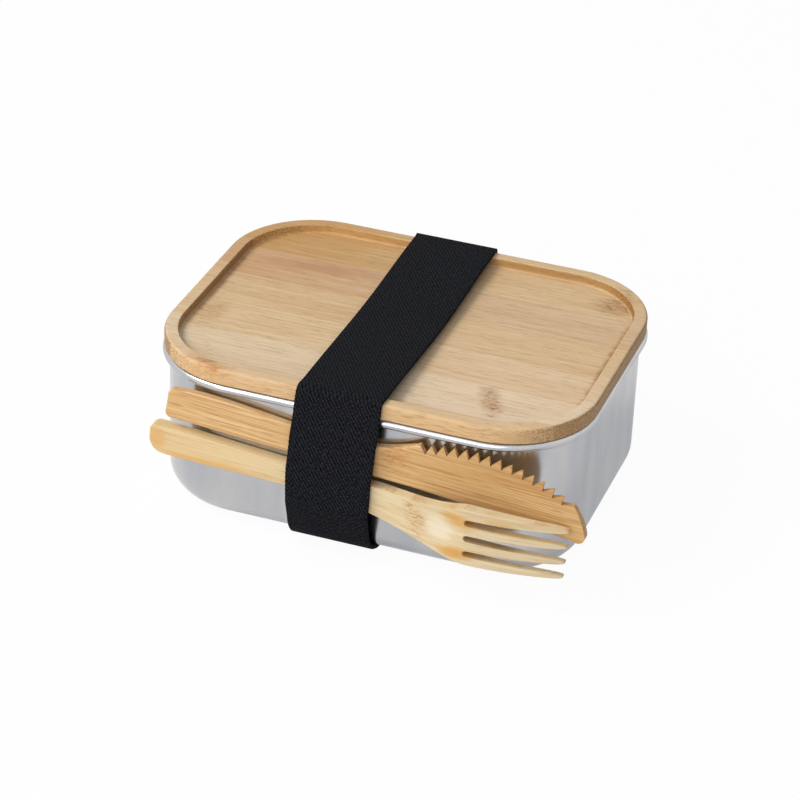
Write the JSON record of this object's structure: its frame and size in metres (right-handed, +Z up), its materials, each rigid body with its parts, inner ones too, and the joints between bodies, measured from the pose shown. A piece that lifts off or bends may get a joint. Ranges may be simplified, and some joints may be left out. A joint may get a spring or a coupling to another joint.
{
  "type": "bento lunch box",
  "caption": "Rounded steel lunch box with a wooden tray lid, held shut by a wide elastic strap that also holds a wooden knife and fork on its front.",
  "frame": {"origin": "on the surface the box stands on, at the underside of the strap, under the middle of the box", "axes": "+X along the length of the box, -Y the front with the cutlery, +Z up"},
  "size_m": [0.185, 0.1503, 0.0727],
  "materials": {
    "steel": "satin, drawn sheet",
    "lid_bamboo": "sanded bamboo staves, oiled",
    "silicone": "translucent white silicone",
    "elastic": "black woven elastic",
    "thread": "black sewing thread",
    "knife_bamboo": "sanded bamboo",
    "fork_bamboo": "sanded bamboo"
  },
  "bodies": {
    "box": {"steel_box": "steel"},
    "lid": {"lid_stave_1": "lid_bamboo", "lid_stave_2": "lid_bamboo", "lid_stave_3": "lid_bamboo", "lid_stave_4": "lid_bamboo", "lid_stave_5": "lid_bamboo", "lid_stave_6": "lid_bamboo", "lid_seal": "silicone"},
    "strap": {"elastic_strap": "elastic", "strap_stitches": "thread"},
    "strap_top": {"strap_top_run": "elastic"},
    "knife": {"knife": "knife_bamboo"},
    "fork": {"fork": "fork_bamboo"}
  },
  "joints": [
    {"name": "lid_lift", "type": "slide", "parent": "box", "child": "lid", "axis": [0, 0, 1], "range_m": [0, 0.05]},
    {"name": "strap_slide", "type": "slide", "parent": "box", "child": "strap", "axis": [1, 0, 0], "range_m": [-0.115, 0.12]},
    {"name": "strap_stretch", "type": "slide", "parent": "strap", "child": "strap_top", "axis": [0, 0, 1], "range_m": [0, 0.05], "stiffness_N_per_m": 30},
    {"name": "knife_pull", "type": "slide", "parent": "strap", "child": "knife", "axis": [0.9974, 0, -0.0715], "range_m": [0, 0.1]},
    {"name": "fork_pull", "type": "slide", "parent": "strap", "child": "fork", "axis": [0.9945, 0, -0.1045], "range_m": [0, 0.105]}
  ],
  "couplings": [
    {"joint": "strap_stretch", "follows": "lid_lift", "ratio": 1}
  ]
}
